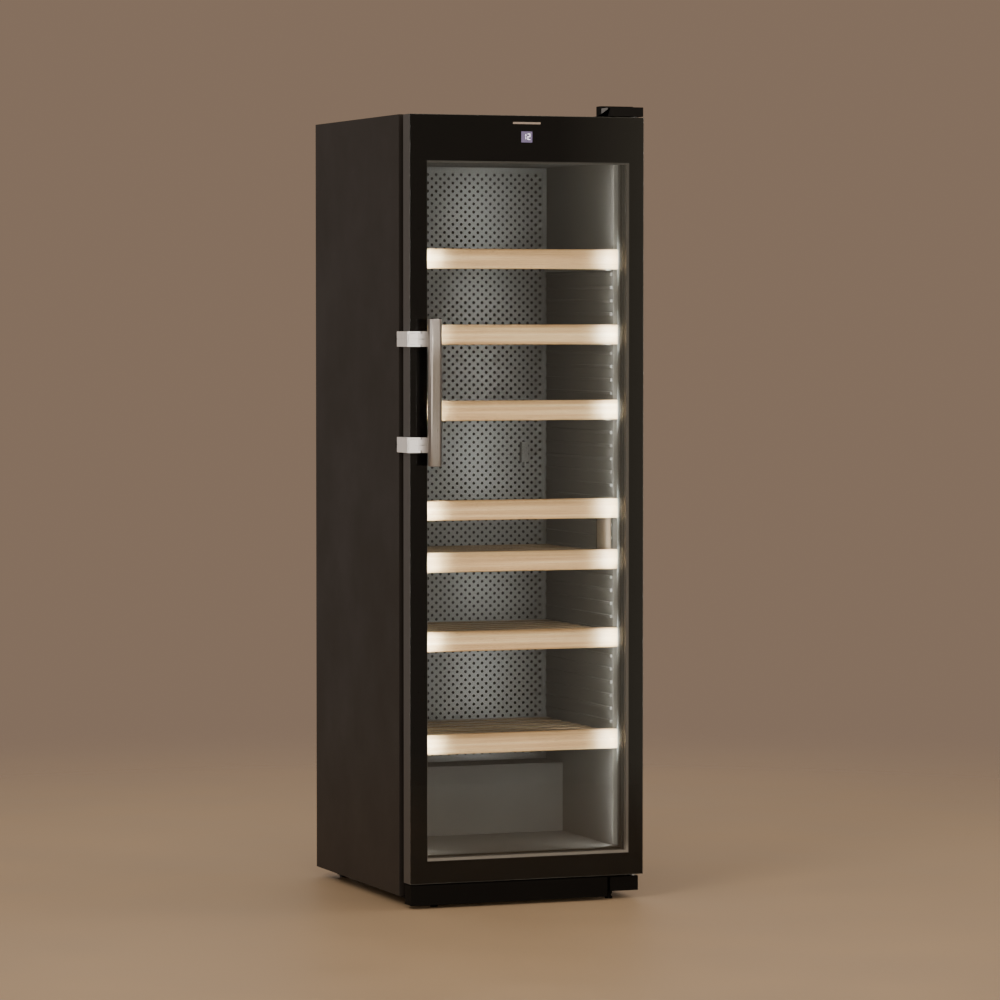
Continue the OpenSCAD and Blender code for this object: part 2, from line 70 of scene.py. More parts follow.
def add_lamp(kind, name, place, aim, power, color):
    """A lamp at place that faces aim."""
    data = bpy.data.lights.new(name, kind)
    data.energy = power
    data.color = color
    lamp = bpy.data.objects.new(name, data)
    lamp.location = place
    lamp.rotation_euler = (Vector(aim) - Vector(place)).to_track_quat("-Z", "Y").to_euler()
    bpy.context.scene.collection.objects.link(lamp)
    return lamp


def add_area(name, place, aim, size, power, color, mirrored=True, spread=180):
    """A rectangular light; mirrored shows it in reflections, spread is its cone in degrees."""
    lamp = add_lamp("AREA", name, place, aim, power, color)
    lamp.data.shape = "RECTANGLE"
    lamp.data.size, lamp.data.size_y = size
    lamp.data.spread = math.radians(spread)
    lamp.visible_camera = False
    lamp.visible_glossy = mirrored
    lamp.visible_transmission = False


def add_spot(name, place, aim, angle, power, color):
    """A narrow soft-edged lamp; angle is the width of its cone in degrees."""
    lamp = add_lamp("SPOT", name, place, aim, power, color)
    lamp.data.spot_size = math.radians(angle)
    lamp.data.spot_blend = 0.7
    lamp.data.shadow_soft_size = 0.05


def add_world():
    """A plain backdrop, and for reflections a soft room with a dim side and a bright window."""
    world = bpy.data.worlds.new("world")
    bpy.context.scene.world = world
    world.use_nodes = True
    tree = world.node_tree
    tree.nodes.clear()

    def ramp_along(direction, stops):
        """Blends two (position, colour) stops along a direction."""
        dot = tree.nodes.new("ShaderNodeVectorMath")
        dot.operation = "DOT_PRODUCT"
        dot.inputs[1].default_value = direction
        tree.links.new(coords.outputs["Generated"], dot.inputs[0])
        spread = tree.nodes.new("ShaderNodeMapRange")
        spread.inputs["From Min"].default_value = stops[0][0]
        spread.inputs["From Max"].default_value = stops[1][0]
        tree.links.new(dot.outputs["Value"], spread.inputs["Value"])
        mix = tree.nodes.new("ShaderNodeMix")
        mix.data_type = "RGBA"
        tree.links.new(spread.outputs[0], mix.inputs["Factor"])
        mix.inputs["A"].default_value = (*stops[0][1], 1)
        mix.inputs["B"].default_value = (*stops[1][1], 1)
        return mix

    out = tree.nodes.new("ShaderNodeOutputWorld")
    seen = tree.nodes.new("ShaderNodeBackground")
    seen.inputs["Color"].default_value = (0.24, 0.165, 0.115, 1)
    around = tree.nodes.new("ShaderNodeBackground")
    coords = tree.nodes.new("ShaderNodeTexCoord")
    soft = (0.36, 0.31, 0.27)
    dim = (0.32, 0.262, 0.20)
    window = (1.7, 1.48, 1.10)
    rightward, frontward = (0.93, 0.36, 0), (0.36, -0.93, 0)
    window_end = ramp_along(rightward, [(0.09, window), (0.15, soft)])
    window_start = ramp_along(rightward, [(0.008, dim), (0.055, window)])
    tree.links.new(window_end.outputs["Result"], window_start.inputs["B"])
    whole = ramp_along(frontward, [(0.5, soft), (0.92, soft)])
    tree.links.new(window_start.outputs["Result"], whole.inputs["B"])
    path = tree.nodes.new("ShaderNodeLightPath")
    mix = tree.nodes.new("ShaderNodeMixShader")
    tree.links.new(whole.outputs["Result"], around.inputs["Color"])
    tree.links.new(path.outputs["Is Camera Ray"], mix.inputs[0])
    tree.links.new(around.outputs[0], mix.inputs[1])
    tree.links.new(seen.outputs[0], mix.inputs[2])
    tree.links.new(mix.outputs[0], out.inputs[0])


def add_floor():
    """A plain pale floor round the feet, which fades into the surroundings further out."""
    mesh = bpy.data.meshes.new("floor")
    half = 6
    fade_start, fade_end = 1.2, 4.5
    mesh.from_pydata(
        [(-half, -half, 0), (half, -half, 0), (half, half, 0), (-half, half, 0)],
        [],
        [(0, 1, 2, 3)],
    )
    floor = bpy.data.objects.new("floor", mesh)
    bpy.context.scene.collection.objects.link(floor)
    s = Surface("floor_pale", (0.54, 0.37, 0.215), 0.5)
    speckle(s, 2.0, 0.04)
    place = s.node("ShaderNodeTexCoord")
    far = s.node("ShaderNodeVectorMath", operation="LENGTH")
    s.link(place.outputs["Object"], far.inputs[0])
    fade = s.node("ShaderNodeMapRange", interpolation_type="SMOOTHSTEP")
    fade.inputs["From Min"].default_value = fade_start
    fade.inputs["From Max"].default_value = fade_end
    fade.inputs["To Min"].default_value = 1.0
    fade.inputs["To Max"].default_value = 0.0
    s.link(far.outputs["Value"], fade.inputs["Value"])
    path = s.node("ShaderNodeLightPath")
    alpha = s.node("ShaderNodeMath", operation="MAXIMUM")
    s.link(fade.outputs[0], alpha.inputs[0])
    s.link(path.outputs["Is Diffuse Ray"], alpha.inputs[1])
    s.link(alpha.outputs[0], s.shader.inputs["Alpha"])
    floor.data.materials.append(s.mat)


# ---------------------------------------------------------------- materials


class Surface:
    """A material with one Principled shader, and short calls that add detail to it."""

    def __init__(self, name, color, roughness, metallic=0.0):
        self.mat = bpy.data.materials.new(name)
        self.mat.use_nodes = True
        self.tree = self.mat.node_tree
        self.shader = self.tree.nodes["Principled BSDF"]
        self.color = color
        self.roughness = roughness
        self.shader.inputs["Base Color"].default_value = (*color, 1)
        self.shader.inputs["Roughness"].default_value = roughness
        self.shader.inputs["Metallic"].default_value = metallic
        self.height = None

    def node(self, kind, **values):
        """A new node with its properties set."""
        made = self.tree.nodes.new(kind)
        for key, value in values.items():
            setattr(made, key, value)
        return made

    def link(self, a, b):
        self.tree.links.new(a, b)

    def coords(self, stretch=(1, 1, 1)):
        """Object coordinates in metres, stretched along each axis."""
        place = self.node("ShaderNodeTexCoord")
        mapping = self.node("ShaderNodeMapping")
        mapping.inputs["Scale"].default_value = stretch
        self.link(place.outputs["Object"], mapping.inputs["Vector"])
        return mapping.outputs[0]

    def noise(self, scale, stretch=(1, 1, 1), detail=3.0, rough=0.55):
        """Soft noise from 0 to 1 in object space."""
        made = self.node("ShaderNodeTexNoise")
        made.inputs["Scale"].default_value = scale
        made.inputs["Detail"].default_value = detail
        made.inputs["Roughness"].default_value = rough
        self.link(self.coords(stretch), made.inputs["Vector"])
        return made.outputs["Fac"]

    def ramp(self, value, stops):
        """Colours or greys over a value, from (position, colour) stops."""
        made = self.node("ShaderNodeValToRGB")
        elements = made.color_ramp.elements
        while len(elements) < len(stops):
            elements.new(0.5)
        for element, (position, color) in zip(elements, stops):
            element.position = position
            if not hasattr(color, "__len__"):
                color = (color, color, color)
            element.color = (*color, 1)
        self.link(value, made.inputs[0])
        return made.outputs[0]

    def spread(self, value, low, high):
        """Stretches the middle of a noise value over a range."""
        made = self.node("ShaderNodeMapRange")
        made.inputs["To Min"].default_value = low
        made.inputs["To Max"].default_value = high
        made.inputs["From Min"].default_value = 0.3
        made.inputs["From Max"].default_value = 0.7
        self.link(value, made.inputs["Value"])
        return made.outputs[0]

    def bump(self, value, depth, strength=1.0):
        """Adds a height in metres under the surface's normal."""
        made = self.node("ShaderNodeBump")
        made.inputs["Strength"].default_value = strength
        made.inputs["Distance"].default_value = depth
        self.link(value, made.inputs["Height"])
        if self.height:
            self.link(self.height, made.inputs["Normal"])
        self.height = made.outputs[0]
        self.link(self.height, self.shader.inputs["Normal"])


def shade(color, factor):
    """A colour made lighter or darker."""
    return tuple(min(1.0, c * factor) for c in color)


def speckle(s, scale, amount, rough_amount=0.06):
    """Slow variation of colour and roughness over the surface."""
    cloud = s.noise(scale, detail=4.0)
    s.link(
        s.ramp(cloud, [(0.3, shade(s.color, 1 - amount)), (0.7, shade(s.color, 1 + amount))]),
        s.shader.inputs["Base Color"],
    )
    s.link(
        s.spread(cloud, s.roughness - rough_amount, s.roughness + rough_amount),
        s.shader.inputs["Roughness"],
    )


def paint(name, color, roughness, grain=900.0, depth=0.00006):
    """Powder coat: a fine orange peel and a slow change in tone."""
    s = Surface(name, color, roughness)
    speckle(s, 5.0, 0.10)
    s.bump(s.noise(grain, detail=2.0), depth)
    return s.mat


def dull(mat, level):
    """Weakens a material's surface shine."""
    mat.node_tree.nodes["Principled BSDF"].inputs["Specular IOR Level"].default_value = level
    return mat


def sheet(name, color, roughness):
    """Smooth coated sheet that mirrors lamps as soft bands."""
    s = Surface(name, color, roughness, 0.35)
    speckle(s, 6.0, 0.08, 0.03)
    s.bump(s.noise(1200.0, detail=2.0), 0.000008)
    return s.mat


def ink(name, color):
    """Smooth matt print, a little uneven in tone."""
    s = Surface(name, color, 0.9)
    speckle(s, 4.0, 0.06, 0.03)
    return s.mat


def plastic(name, color, roughness, grain=1500.0, depth=0.00004):
    """Moulded plastic with a spark-eroded texture."""
    s = Surface(name, color, roughness)
    speckle(s, 9.0, 0.08)
    s.bump(s.noise(grain, detail=4.0, rough=0.7), depth)
    return s.mat


def brushed(name, color, roughness, stretch, depth=0.00002, contrast=1.0):
    """Metal with brush lines along the axis that stretch leaves short."""
    s = Surface(name, color, roughness, 1.0)
    lines = s.noise(1.0, stretch, detail=5.0, rough=0.65)
    s.link(
        s.ramp(
            lines,
            [(0.3, shade(color, 1 - 0.14 * contrast)), (0.7, shade(color, 1 + 0.10 * contrast))],
        ),
        s.shader.inputs["Base Color"],
    )
    s.link(
        s.spread(lines, roughness - 0.08 * contrast, roughness + 0.10 * contrast),
        s.shader.inputs["Roughness"],
    )
    s.bump(lines, depth)
    return s.mat


def beech(name, along, painted_shade_factor=1.0):
    """Beech with growth bands, fine pores and short dark flecks, its grain along one axis."""

    def stretched(long_way, across):
        return tuple(long_way if i == along else across for i in range(3))

    s = Surface(name, (0.62, 0.375, 0.18), 0.46)
    bands = s.noise(1.0, stretched(1.3, 120.0), detail=6.0, rough=0.6)
    pores = s.noise(1.0, stretched(28.0, 900.0), detail=3.0, rough=0.7)
    flecks = s.noise(1.0, stretched(90.0, 420.0), detail=1.0)
    tones = [(0.30, (0.47, 0.26, 0.11)), (0.5, (0.62, 0.375, 0.18)), (0.70, (0.76, 0.53, 0.30))]
    # the factor below 1 darkens the whole wood as painted shade
    tone = s.ramp(bands, [(place, shade(color, painted_shade_factor)) for place, color in tones])
    mark = s.ramp(flecks, [(0.66, 1.0), (0.74, 0.72)])
    pore = s.ramp(pores, [(0.35, 0.86), (0.62, 1.0)])
    for grey in (mark, pore):
        mix = s.node("ShaderNodeMix", data_type="RGBA", blend_type="MULTIPLY")
        mix.inputs["Factor"].default_value = 1.0
        s.link(tone, mix.inputs["A"])
        s.link(grey, mix.inputs["B"])
        tone = mix.outputs["Result"]
    s.link(tone, s.shader.inputs["Base Color"])
    s.link(s.spread(pores, 0.40, 0.56), s.shader.inputs["Roughness"])
    s.bump(pores, 0.00008)
    return s.mat


def clear_glass(name, tint, mirror=1.0):
    """Flat clear glass that reflects by its angle and lets the rest straight through."""
    s = Surface(name, tint, 0.03)
    tree = s.tree
    tree.nodes.remove(s.shader)
    through = s.node("ShaderNodeBsdfTransparent")
    through.inputs["Color"].default_value = (*tint, 1)
    shine = s.node("ShaderNodeBsdfGlossy")
    shine.inputs["Color"].default_value = (mirror, mirror, mirror, 1)
    shine.inputs["Roughness"].default_value = 0.02
    # Schlick's curve, the same for both faces of a sheet: the Fresnel node would turn the back face
    # into a mirror past 45 degrees
    head_on = 0.03
    angle = s.node("ShaderNodeLayerWeight")
    angle.inputs["Blend"].default_value = 0.5
    steep = s.node("ShaderNodeMath", operation="POWER")
    steep.inputs[1].default_value = 5.0
    s.link(angle.outputs["Facing"], steep.inputs[0])
    share = s.node("ShaderNodeMath", operation="MULTIPLY_ADD")
    share.inputs[1].default_value = 1 - head_on
    share.inputs[2].default_value = head_on
    s.link(steep.outputs[0], share.inputs[0])
    mix = s.node("ShaderNodeMixShader")
    s.link(share.outputs[0], mix.inputs[0])
    s.link(through.outputs[0], mix.inputs[1])
    s.link(shine.outputs[0], mix.inputs[2])
    s.link(mix.outputs[0], tree.nodes["Material Output"].inputs["Surface"])
    return s.mat


def glow(name, color, strength, base=(0.8, 0.8, 0.8)):
    """A lit diffuser: its light varies a little along its length."""
    s = Surface(name, base, 0.5)
    cloud = s.noise(40.0, detail=2.0)
    tone = s.ramp(cloud, [(0.2, shade(color, 0.9)), (0.8, color)])
    s.link(tone, s.shader.inputs["Emission Color"])
    s.shader.inputs["Emission Strength"].default_value = strength
    return s.mat


def rubber(name, color):
    """Dull rubber with an uneven bloom."""
    s = Surface(name, color, 0.78)
    speckle(s, 30.0, 0.12, 0.08)
    s.bump(s.noise(700.0, detail=3.0), 0.00005)
    return s.mat


def foam(name):
    """Cut insulation foam with coarse cells."""
    s = Surface(name, (0.70, 0.62, 0.40), 0.95)
    speckle(s, 60.0, 0.15, 0.04)
    s.bump(s.noise(500.0, detail=4.0), 0.0006)
    return s.mat


MATERIALS = {
    "cabinet_paint": dull(
        paint("cabinet_paint", (0.0175, 0.0125, 0.0092), 0.52, 900.0, 0.00003), 0.32
    ),
    "rear_sheet": paint("rear_sheet", (0.045, 0.041, 0.038), 0.58),
    "black_steel": dull(paint("black_steel", (0.0050, 0.0042, 0.0033), 0.6), 0.06),
    "foam": foam("foam"),
    "liner_plastic": dull(
        plastic("liner_plastic", (0.108, 0.101, 0.093), 0.66, 1500.0, 0.000004), 0.35
    ),
    "duct_sheet": sheet("duct_sheet", (0.240, 0.237, 0.231), 0.34),
    "bare_aluminium": brushed("bare_aluminium", (0.62, 0.62, 0.61), 0.38, (30, 30, 900)),
    # near black as painted shade for the parts behind the perforated panel
    "fins_painted_shade": paint("fins_painted_shade", (0.016, 0.016, 0.017), 0.6),
    "liner_painted_shade": plastic("liner_painted_shade", (0.012, 0.012, 0.012), 0.6),
    "black_plastic": dull(plastic("black_plastic", (0.0080, 0.0070, 0.0060), 0.65), 0.12),
    "grey_plastic": plastic("grey_plastic", (0.24, 0.235, 0.225), 0.5),
    "led_diffuser": glow("led_diffuser", (1.0, 0.94, 0.86), 0.10, (0.185, 0.166, 0.140)),
    "compressor_paint": paint("compressor_paint", (0.010, 0.010, 0.010), 0.28),
    "steel": brushed("steel", (0.56, 0.56, 0.55), 0.34, (40, 40, 700)),
    "beech": beech("beech", 0),
    "front_glass": clear_glass("front_glass", (0.955, 0.965, 0.960)),
    "pane_glass": clear_glass("pane_glass", (0.965, 0.972, 0.968), 0.25),
    "door_frame_paint": paint("door_frame_paint", (0.052, 0.048, 0.045), 0.42),
    "gasket_rubber": rubber("gasket_rubber", (0.020, 0.019, 0.018)),
    "display": plastic("display", (0.012, 0.012, 0.013), 0.3),
    # the handle bar's dark base colour is painted shade
    "handle_aluminium": brushed(
        "handle_aluminium", (0.275, 0.247, 0.222), 0.30, (900, 900, 14), 0.000006, 0.4
    ),
    "fan_plastic": plastic("fan_plastic", (0.020, 0.020, 0.020), 0.5),
    "roller_rubber": rubber("roller_rubber", (0.03, 0.03, 0.03)),
}
BLACK_PRINT = dull(ink("black_print", (0.0032, 0.0030, 0.0028)), 0.0)
STRIP_PRINT = plastic("strip_print", (0.44, 0.34, 0.28), 0.4)
# the near-white, barely metallic finish of the handle brackets and pins is a painted highlight
BRACKET_PAINTED_HIGHLIGHT = brushed("bracket_painted_highlight", (0.95, 0.93, 0.91), 0.40, (900, 900, 14))
BRACKET_PAINTED_HIGHLIGHT.node_tree.nodes["Principled BSDF"].inputs["Metallic"].default_value = 0.2
# the racks' darkened beech is painted shade
BEECH_RACK_PAINTED_SHADE = beech("beech_rack_painted_shade", 0, 0.30)
# the shelf-end brackets' very dark beech is painted shade
BEECH_END_PAINTED_SHADE = dull(beech("beech_end_painted_shade", 2, 0.045), 0.1)
DISPLAY_GLOW = glow("display_glow", (0.60, 0.42, 0.80), 0.30, (0.05, 0.05, 0.06))
DIGIT_GLOW = glow("digit_glow", (0.95, 0.86, 1.0), 2.4)

SLOT_OF = {part["node"]: part["material_slot"] for part in frame["record"]["subparts"]}
# painted shade: what lies behind the perforated panel is painted near black for the shade there
SHADE_BEHIND_PANEL = {"evaporator": "fins_painted_shade", "liner_rear": "liner_painted_shade"}
# painted light: the brackets and pins get a painted highlight brighter than the bar, and the racks
# and shelf ends are darkened as painted shade
PAINTED_LIGHT_FINISH = {
    "handle_brackets": BRACKET_PAINTED_HIGHLIGHT, "handle_pins": BRACKET_PAINTED_HIGHLIGHT,
    "shelf_racks": BEECH_RACK_PAINTED_SHADE, "display_brackets": BEECH_END_PAINTED_SHADE,
}


def dress_cad():
    """Gives every CAD node its slot's material and rounds its edges."""
    board_edge = 0.002
    edge_of = {
        "side_panel_left": 0.0006, "side_panel_right": 0.0006, "top_panel": 0.0005,
        "rear_panel": 0.0003, "machine_cover": 0.0003, "base_pan": 0.0006,
        "liner_left": 0.0012, "liner_right": 0.0012, "front_collar": 0.0012,
        "door_glass": 0.0007, "door_profile": 0.0012, "door_inner_frame": 0.0015,
        "shelf_racks": 0.0022, "display_brackets": 0.0015, "handle_bar": 0.0012,
        "handle_brackets": 0.0009, "handle_arms": 0.0008, "hinge_cover": 0.0022,
        "plinth_panel": 0.0008, "control_box": 0.003, "compressor": 0.002,
        "wall_spacers": 0.0015, "mains_inlet": 0.0008, "temperature_sensor": 0.002,
        "charcoal_filter": 0.0015, "hinge_bracket_bottom": 0.0008,
        "hinge_bracket_top": 0.0008, "opening_pushers": 0.0005,
    }
    for name, obj in nodes.items():
        obj.data.materials.clear()
        finish = MATERIALS[SHADE_BEHIND_PANEL.get(name, SLOT_OF[name])]
        obj.data.materials.append(PAINTED_LIGHT_FINISH.get(name, finish))
        width = board_edge if name.startswith("shelf_board") else edge_of.get(name)
        if width:
            round_edges(obj, width)


def round_edges(obj, width, segments=2):
    """Joins the mesh's loose faces, clears flat splits and bevels the sharp edges."""
    weld = obj.modifiers.new("weld", "WELD")
    weld.merge_threshold = 0.00002
    flat = obj.modifiers.new("flat", "DECIMATE")
    flat.decimate_type = "DISSOLVE"
    flat.angle_limit = math.radians(0.5)
    bevel = obj.modifiers.new("bevel", "BEVEL")
    bevel.width = width
    bevel.segments = segments
    bevel.limit_method = "ANGLE"
    bevel.angle_limit = math.radians(40)
    bevel.use_clamp_overlap = True
    bevel.harden_normals = True


# ---------------------------------------------------------------- mesh pieces


def add_piece(name, verts, faces, material, body, slot, replaced=()):
    """A new mesh piece that rides on a body and wears the given material; its slot argument is not
    used.
    """
    mesh = bpy.data.meshes.new(name)
    mesh.from_pydata([tuple(v) for v in verts], [], faces)
    mesh.validate()
    mesh.update()
    obj = bpy.data.objects.new(name, mesh)
    obj.data.materials.append(material)
    bpy.context.scene.collection.objects.link(obj)
    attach(obj, body)
    if replaced:
        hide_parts(*replaced)
    return obj


def box_mesh(parts):
    """Vertices and faces of closed boxes, each given by its lowest and highest corner."""
    verts, faces = [], []
    quads = [(0, 2, 3, 1), (4, 5, 7, 6), (0, 1, 5, 4), (2, 6, 7, 3), (0, 4, 6, 2), (1, 3, 7, 5)]
    for low, high in parts:
        first = len(verts)
        verts += [
            (x, y, z)
            for z in (low[2], high[2])
            for y in (low[1], high[1])
            for x in (low[0], high[0])
        ]
        faces += [tuple(first + i for i in quad) for quad in quads]
    return verts, faces


def ring_mesh(outer, inner, y0, y1):
    """A flat upright frame between two rectangles (x0, z0, x1, z1), from y0 to y1."""
    corners = []
    for x0, z0, x1, z1 in (outer, inner):
        corners.append([(x0, z0), (x1, z0), (x1, z1), (x0, z1)])
    verts = [(x, y, z) for y in (y0, y1) for loop in corners for x, z in loop]
    faces = []
    for i in range(4):
        j = (i + 1) % 4
        faces.append((i, j, 4 + j, 4 + i))
        faces.append((8 + j, 8 + i, 12 + i, 12 + j))
        faces.append((j, i, 8 + i, 8 + j))
        faces.append((4 + i, 4 + j, 12 + j, 12 + i))
    return verts, faces


def perforated_panel():
    """The rear duct panel with its staggered round holes."""
    low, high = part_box("duct_panel")
    filter_low, filter_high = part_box("charcoal_filter")
    seat = ((filter_low.x + filter_high.x) / 2, (filter_low.z + filter_high.z) / 2)
    seat_r = (filter_high.x - filter_low.x) / 2
    margin_x, margin_z = 0.012, 0.014
    pitch_x, pitch_z = 0.0110, 0.0103
    columns = round((high.x - low.x - 2 * margin_x) / pitch_x)
    rows = round((high.z - low.z - 2 * margin_z) / pitch_z)
    step_x = (high.x - low.x - 2 * margin_x) / columns
    step_z = (high.z - low.z - 2 * margin_z) / rows
    hole_r = 0.0040
    sides = 12
    bm = bmesh.new()
    grid = {}

    def grid_place(i, j):
        return low.x + margin_x + i * step_x, low.z + margin_z + j * step_z

    def corner(i, j, y):
        if (i, j, y) not in grid:
            x, z = grid_place(i, j)
            grid[i, j, y] = bm.verts.new((x, y, z))
        return grid[i, j, y]

    def corners(i, j, y):
        return [corner(i + di, j + dj, y) for di, dj in ((0, 0), (1, 0), (1, 1), (0, 1))]

    def near_filter(i, j):
        x, z = grid_place(i + 0.5, j + 0.5)
        return math.hypot(x - seat[0], z - seat[1]) < seat_r + hole_r

    def solid_cell(i, j):
        for y, order in ((low.y, (0, 1, 2, 3)), (high.y, (3, 2, 1, 0))):
            four = corners(i, j, y)
            bm.faces.new([four[k] for k in order])

    def hole_cell(i, j):
        x, z = grid_place(i + 0.5, j + 0.5)
        rims = []
        for y in (low.y, high.y):
            rims.append([
                bm.verts.new((
                    x + hole_r * math.cos(math.radians(-135 + k * 360 / sides)),
                    y,
                    z + hole_r * math.sin(math.radians(-135 + k * 360 / sides)),
                ))
                for k in range(sides)
            ])
        quarter = sides // 4
        for y, rim, flip in ((low.y, rims[0], False), (high.y, rims[1], True)):
            four = corners(i, j, y)
            for k in range(4):
                arc = [rim[(k * quarter + m) % sides] for m in range(quarter + 1)]
                loop = [four[k], four[(k + 1) % 4]] + arc[::-1]
                bm.faces.new(loop[::-1] if flip else loop)
        for k in range(sides):
            n = (k + 1) % sides
            bm.faces.new((rims[0][n], rims[0][k], rims[1][k], rims[1][n]))

    for i in range(columns):
        for j in range(rows):
            if (i + j) % 2 and not near_filter(i, j):
                hole_cell(i, j)
            else:
                solid_cell(i, j)
    bmesh.ops.recalc_face_normals(bm, faces=bm.faces)
    mesh = bpy.data.meshes.new("perforated_panel")
    bm.to_mesh(mesh)
    bm.free()
    proud = 0.0012
    border = ring_mesh(
        (low.x, low.z, high.x, high.z),
        (low.x + margin_x, low.z + margin_z, high.x - margin_x, high.z - margin_z),
        low.y - proud,
        high.y + proud,
    )
    panel = bpy.data.objects.new("perforated_panel", mesh)
    panel.data.materials.append(MATERIALS["duct_sheet"])
    bpy.context.scene.collection.objects.link(panel)
    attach(panel, "cabinet")
    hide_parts("duct_panel")
    edge = add_piece("panel_edge", *border, MATERIALS["duct_sheet"], "cabinet", "duct_sheet")
    round_edges(edge, 0.0008)


def door_print():
    """The black border printed behind the front glass, a plain strip and the lit display."""
    low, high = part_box("door_glass")
    pane_low, pane_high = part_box("inner_panes")
    back = high.y
    left_border, right_border = 0.0435, 0.0375
    inner = (
        low.x + left_border, pane_low.z + 0.0005,
        high.x - right_border, pane_high.z - 0.003,
    )
    inset = 0.0008
    outer = (low.x + inset, low.z + inset, high.x - inset, high.z - inset)
    add_piece(
        "printed_border", *ring_mesh(outer, inner, back - 0.0004, back - 0.0001),
        BLACK_PRINT, "door", "door_frame_paint",
    )
    module_low, module_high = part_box("display_module")
    middle = (module_low.x + module_high.x) / 2
    z = (module_low.z + module_high.z) / 2
    front, rear = back - 0.0007, back - 0.0005
    strip = ((middle - 0.035, front, z + 0.0305), (middle + 0.035, rear, z + 0.0352))
    add_piece("plain_strip", *box_mesh([strip]), STRIP_PRINT, "door", "grey_plastic")
    square = ((middle - 0.014, front, z - 0.0130), (middle + 0.014, rear, z + 0.0130))
    add_piece("display_field", *box_mesh([square]), DISPLAY_GLOW, "door", "display")
    add_piece(
        "display_digits", *box_mesh(digit_bars("12", middle, back - 0.0010, z)),
        DIGIT_GLOW, "door", "display",
    )


def digit_bars(text, x, y, z):
    """Boxes for the seven-segment digits 1 and 2, centred at x, y, z."""
    lit = {"1": "bc", "2": "abged"}
    width, half_height, bar, gap, half_depth = 0.0065, 0.0065, 0.0012, 0.0105, 0.0001
    inner, full = width - bar, 2 * half_height
    spots = {
        "a": (0, full, width, full + bar),
        "b": (inner, half_height + bar, width, full),
        "c": (inner, bar, width, half_height),
        "d": (0, 0, width, bar),
        "e": (0, bar, bar, half_height),
        "g": (0, half_height, width, half_height + bar),
    }
    foot = z - half_height
    parts = []
    for k, digit in enumerate(text):
        left = x - gap * len(text) / 2 + gap * k + (gap - width) / 2
        for name in lit[digit]:
            x0, z0, x1, z1 = spots[name]
            parts.append(
                ((left + x0, y - half_depth, foot + z0), (left + x1, y + half_depth, foot + z1))
            )
    return parts


def swept_frame(name, profile, x_half, z_low, z_high, material, body, slot, replaced=()):
    """A profile of (out, y) points round an upright rectangle, out being away from its middle."""
    corners = [(-x_half, z_low), (x_half, z_low), (x_half, z_high), (-x_half, z_high)]
    signs = [(-1, -1), (1, -1), (1, 1), (-1, 1)]
    verts = []
    for (x, z), (sx, sz) in zip(corners, signs):
        verts += [(x + sx * out, y, z + sz * out) for out, y in profile]
    n = len(profile)
    faces = []
    for c in range(4):
        d = (c + 1) % 4
        for k in range(n):
            m = (k + 1) % n
            faces.append((c * n + k, d * n + k, d * n + m, c * n + m))
    obj = add_piece(name, verts, faces, material, body, slot, replaced)
    bm = bmesh.new()
    bm.from_mesh(obj.data)
    bmesh.ops.recalc_face_normals(bm, faces=bm.faces)
    bm.to_mesh(obj.data)
    bm.free()


def bellows_gasket():
    """The magnetic door gasket: a base strip, a folded bellows and a flat magnet chamber."""
    low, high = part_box("gasket")
    width = 0.016

    def at(share):
        return low.y + share * (high.y - low.y)

    profile = [
        (0.0, low.y), (0.0, at(0.18)), (-0.0045, at(0.30)), (-0.0045, at(0.42)),
        (-0.0008, at(0.55)), (0.0, at(0.66)), (0.0, high.y - 0.0004), (-0.0006, high.y),
        (-width + 0.0012, high.y), (-width + 0.0004, high.y - 0.0006),
        (-width + 0.0004, at(0.66)), (-width + 0.003, at(0.5)),
        (-width + 0.0055, at(0.36)), (-width + 0.0015, at(0.2)), (-width + 0.0015, low.y),
    ]
    swept_frame(
        "bellows_gasket", profile, high.x, low.z, high.z,
        MATERIALS["gasket_rubber"], "door", "gasket_rubber", ["gasket"],
    )


def object_place(s):
    """The X, Y and Z of each point in object space."""
    place = s.node("ShaderNodeTexCoord")
    split = s.node("ShaderNodeSeparateXYZ")
    s.link(place.outputs["Object"], split.inputs[0])
    return split.outputs


def dress_again(name, mat):
    """Gives a CAD node another material."""
    nodes[name].data.materials.clear()
    nodes[name].data.materials.append(mat)


def spacers_with_painted_foot():
    """The rear spacer of the glazing is black; the front one is grey, with a painted highlight that
    makes it lighter at its foot.
    """
    low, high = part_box("spacer_bars")
    s = Surface("spacer_two_tone_painted_foot", (0.42, 0.41, 0.40), 0.42)
    place = object_place(s)
    step = s.node("ShaderNodeMath", operation="GREATER_THAN")
    step.inputs[1].default_value = (low.y + high.y) / 2
    s.link(place["Y"], step.inputs[0])
    painted_highlight_height = s.node("ShaderNodeMapRange")
    painted_highlight_height.inputs["From Min"].default_value = low.z
    painted_highlight_height.inputs["From Max"].default_value = high.z
    s.link(place["Z"], painted_highlight_height.inputs["Value"])
    # the front spacer's lighter foot is a painted highlight
    front = s.ramp(
        painted_highlight_height.outputs[0],
        [(0.004, (0.24, 0.215, 0.19)), (0.02, (0.12, 0.105, 0.09)), (0.99, (0.05, 0.045, 0.04))],
    )
    mix = s.node("ShaderNodeMix", data_type="RGBA")
    s.link(front, mix.inputs["A"])
    mix.inputs["B"].default_value = (0.012, 0.012, 0.012, 1)
    s.link(step.outputs[0], mix.inputs["Factor"])
    s.link(mix.outputs["Result"], s.shader.inputs["Base Color"])
    s.bump(s.noise(900.0), 0.00003)
    dress_again("spacer_bars", s.mat)


